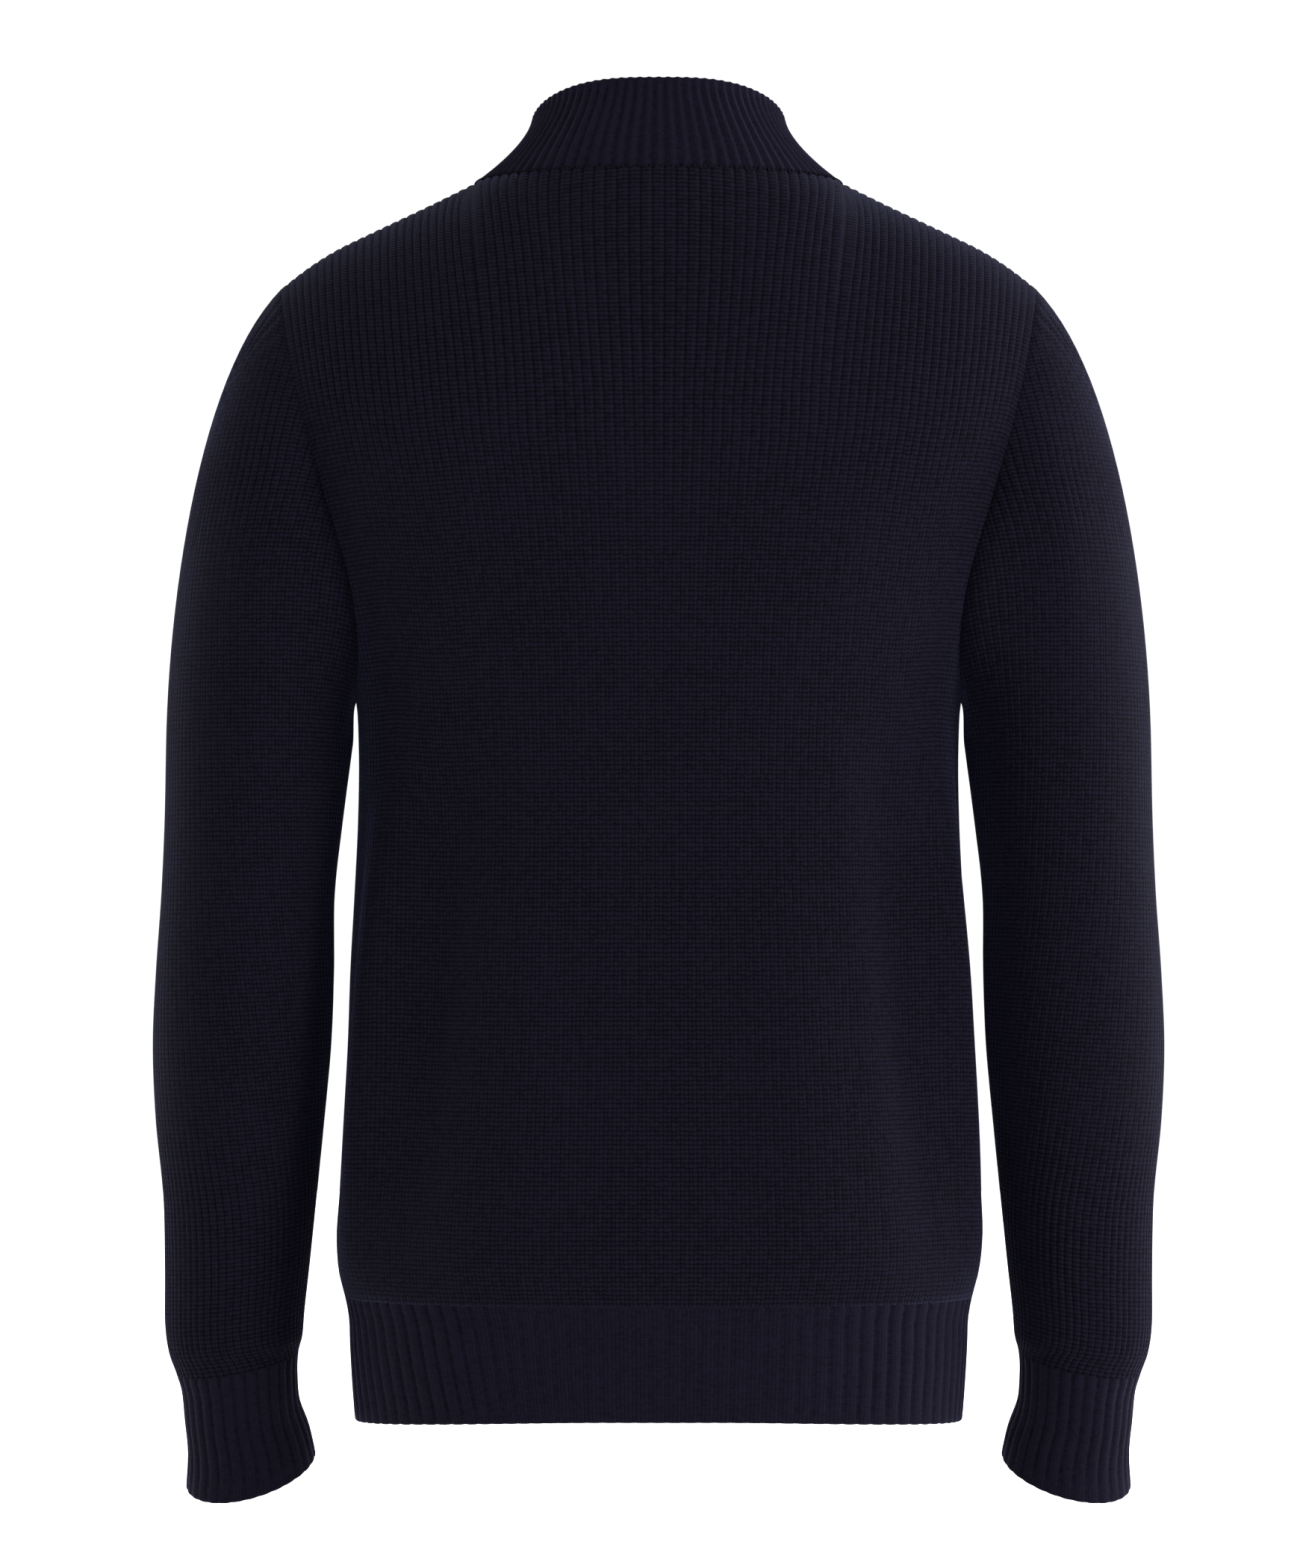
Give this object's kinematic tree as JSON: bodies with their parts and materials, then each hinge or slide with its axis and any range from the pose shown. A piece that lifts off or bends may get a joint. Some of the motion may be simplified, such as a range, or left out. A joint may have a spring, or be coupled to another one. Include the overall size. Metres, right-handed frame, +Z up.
{
  "type": "zip-up sweater",
  "caption": "Long-sleeved knitted sweater with a ribbed stand collar, hem and cuffs and a full-length front zip, hollow as worn.",
  "frame": {"origin": "middle of the neck, level with the two points where the shoulder seams meet the collar, which is where the wearer's shoulders hold it up", "axes": "+Z up the wearer, -Y towards the wearer's front, where the zip is, +X towards the wearer's left arm"},
  "size_m": [0.542, 0.2437, 0.7611],
  "materials": {
    "body_knit": "matte half-cardigan rib knit",
    "rib_knit": "matte rib knit",
    "zip_tape": "matte woven tape",
    "zip_metal": "dark plated metal"
  },
  "bodies": {
    "garment": {"back": "body_knit", "front_left": "body_knit", "front_right": "body_knit", "sleeve_left": "body_knit", "sleeve_right": "body_knit", "collar": "rib_knit", "hem_back": "rib_knit", "hem_front_left": "rib_knit", "hem_front_right": "rib_knit", "cuff_left": "rib_knit", "cuff_right": "rib_knit", "zip_tape_left": "zip_tape", "zip_tape_right": "zip_tape", "zip_chain": "zip_metal", "zip_box": "zip_metal", "zip_stop_left": "zip_metal", "zip_stop_right": "zip_metal", "zip_slider": "zip_metal"},
    "pull_tab": {"pull_tab": "zip_metal"}
  },
  "joints": [
    {"name": "pull_tab_swing", "type": "hinge", "parent": "garment", "child": "pull_tab", "pos_m": [0, -0.07449, -0.00139], "axis": [-1, 0, 0], "range_deg": [0, 150]}
  ]
}
